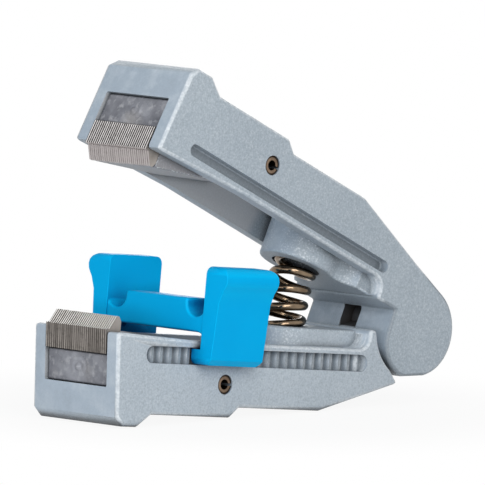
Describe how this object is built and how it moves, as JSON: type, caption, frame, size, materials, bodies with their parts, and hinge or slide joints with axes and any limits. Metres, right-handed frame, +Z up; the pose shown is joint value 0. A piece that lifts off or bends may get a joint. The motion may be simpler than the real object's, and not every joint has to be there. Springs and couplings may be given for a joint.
{
  "type": "wire stripper head",
  "caption": "Hinged stripping head of a self-adjusting wire stripper: two moulded jaws with leaf-blade packs, a return spring between them and a sliding length stop.",
  "frame": {"origin": "middle of the bounding box on the table the head stands on", "axes": "+X rearwards from the blades to the pivot, +Y across the head to its far side, +Z up"},
  "size_m": [0.0376, 0.0158, 0.028],
  "materials": {
    "jaw_grey": "fine matt moulded, glass-filled",
    "blade_steel": "ground",
    "cushion_grey": "matt",
    "carrier_grey": "matt moulded",
    "stop_blue": "satin",
    "spring_steel": "bright drawn",
    "pin_steel": "bright"
  },
  "bodies": {
    "lower_jaw": {"lower_jaw": "jaw_grey", "lower_carrier": "carrier_grey", "lower_cushion": "cushion_grey", "lower_cross_pin": "pin_steel", "return_spring": "spring_steel"},
    "upper_jaw": {"upper_jaw": "jaw_grey", "upper_carrier": "carrier_grey", "upper_cushion": "cushion_grey", "upper_cross_pin": "pin_steel", "pivot_pin": "pin_steel"},
    "length_stop": {"length_stop": "stop_blue"},
    "lower_blades": {"lower_leaf_01": "blade_steel", "lower_leaf_02": "blade_steel", "lower_leaf_03": "blade_steel", "lower_leaf_04": "blade_steel", "lower_leaf_05": "blade_steel", "lower_leaf_06": "blade_steel", "lower_leaf_07": "blade_steel", "lower_leaf_08": "blade_steel", "lower_leaf_09": "blade_steel", "lower_leaf_10": "blade_steel", "lower_leaf_11": "blade_steel", "lower_leaf_12": "blade_steel", "lower_leaf_13": "blade_steel", "lower_leaf_14": "blade_steel", "lower_leaf_15": "blade_steel", "lower_leaf_16": "blade_steel", "lower_leaf_17": "blade_steel", "lower_leaf_18": "blade_steel", "lower_leaf_19": "blade_steel", "lower_leaf_20": "blade_steel", "lower_leaf_21": "blade_steel", "lower_leaf_22": "blade_steel", "lower_leaf_23": "blade_steel", "lower_leaf_24": "blade_steel"},
    "upper_blades": {"upper_leaf_01": "blade_steel", "upper_leaf_02": "blade_steel", "upper_leaf_03": "blade_steel", "upper_leaf_04": "blade_steel", "upper_leaf_05": "blade_steel", "upper_leaf_06": "blade_steel", "upper_leaf_07": "blade_steel", "upper_leaf_08": "blade_steel", "upper_leaf_09": "blade_steel", "upper_leaf_10": "blade_steel", "upper_leaf_11": "blade_steel", "upper_leaf_12": "blade_steel", "upper_leaf_13": "blade_steel", "upper_leaf_14": "blade_steel", "upper_leaf_15": "blade_steel", "upper_leaf_16": "blade_steel", "upper_leaf_17": "blade_steel", "upper_leaf_18": "blade_steel", "upper_leaf_19": "blade_steel", "upper_leaf_20": "blade_steel", "upper_leaf_21": "blade_steel", "upper_leaf_22": "blade_steel", "upper_leaf_23": "blade_steel", "upper_leaf_24": "blade_steel"}
  },
  "joints": [
    {"name": "jaw_hinge", "type": "hinge", "parent": "lower_jaw", "child": "upper_jaw", "pos_m": [0.01436, 0, 0.00613], "axis": [0, -1, 0], "range_deg": [0, 21.5], "stiffness_Nm_per_rad": 0.4, "springref_deg": -2.01, "deforming": ["return_spring"]},
    {"name": "stop_slide", "type": "slide", "parent": "lower_jaw", "child": "length_stop", "axis": [0.9959, 0, -0.0905], "range_m": [-0.0009, 0.0087]},
    {"name": "lower_pack_press", "type": "slide", "parent": "lower_jaw", "child": "lower_blades", "axis": [-0.0905, 0, -0.9959], "range_m": [0, 0.0005], "stiffness_N_per_m": 3000, "deforming": ["lower_cushion"]},
    {"name": "upper_pack_press", "type": "slide", "parent": "upper_jaw", "child": "upper_blades", "axis": [0.4367, 0, 0.8996], "range_m": [0, 0.0005], "stiffness_N_per_m": 3000, "deforming": ["upper_cushion"]}
  ]
}
